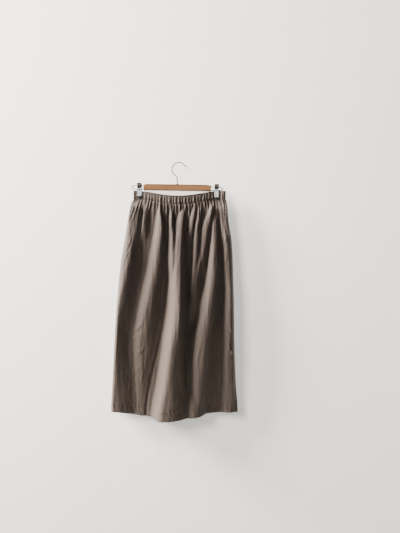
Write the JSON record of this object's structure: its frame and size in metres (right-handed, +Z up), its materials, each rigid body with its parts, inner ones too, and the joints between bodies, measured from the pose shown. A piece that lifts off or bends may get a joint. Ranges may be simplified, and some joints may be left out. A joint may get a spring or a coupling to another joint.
{
  "type": "wrap skirt on a clip hanger",
  "caption": "Midi skirt with a gathered elastic waist and a lapped front edge, hanging by two clips from a wooden bar hanger.",
  "frame": {"origin": "inside top of the hanger's hook, where it hangs", "axes": "+Z up, -Y towards the front of the skirt, +X to the viewer's right"},
  "size_m": [0.4445, 0.089, 0.8901],
  "materials": {
    "cloth": "woven, soft sheen",
    "wood": "clear satin lacquer",
    "steel": "polished plating",
    "rubber": "matt"
  },
  "bodies": {
    "root": {"front_main": "cloth", "front_side": "cloth", "back_panel": "cloth", "waistband": "cloth", "pocket_bag_left": "cloth", "pocket_bag_right": "cloth", "hanger_bar": "wood", "hanger_hook": "steel", "loop_left": "steel", "loop_right": "steel", "clip_left_front_jaw": "steel", "clip_left_front_tip": "rubber", "clip_left_back_jaw": "steel", "clip_left_back_tip": "rubber", "clip_left_spring": "steel", "clip_right_front_jaw": "steel", "clip_right_front_tip": "rubber", "clip_right_back_jaw": "steel", "clip_right_back_tip": "rubber", "clip_right_spring": "steel"}
  },
  "joints": []
}
